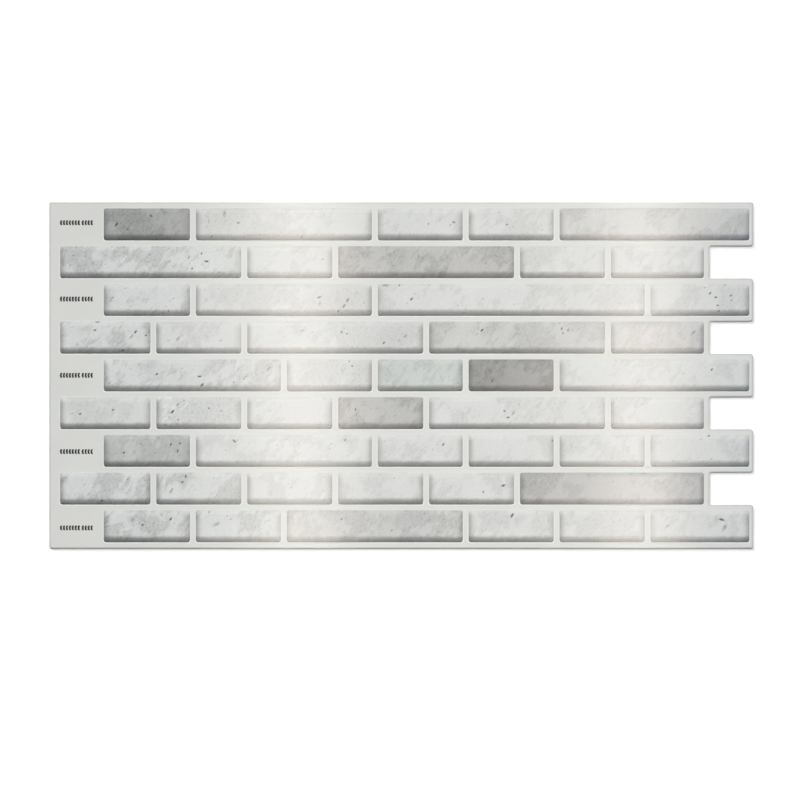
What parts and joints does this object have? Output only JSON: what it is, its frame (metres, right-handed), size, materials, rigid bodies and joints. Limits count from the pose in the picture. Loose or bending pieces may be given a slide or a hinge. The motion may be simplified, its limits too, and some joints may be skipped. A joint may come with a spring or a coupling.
{
  "type": "peel and stick backsplash tile",
  "caption": "Rectangular moulded vinyl sheet with raised marble-print bricks in staggered courses, a flat adhesive back, blank overlap tabs at one end and lap fingers at the other.",
  "frame": {"origin": "middle of the adhesive back, which lies on the floor", "axes": "+X along the courses from the overlap tabs to the lap fingers, +Y up the wall, +Z out of the printed face"},
  "size_m": [0.61, 0.3, 0.0031],
  "materials": {
    "printed_vinyl": "satin"
  },
  "bodies": {
    "root": {"tile_sheet": "printed_vinyl"}
  },
  "joints": []
}
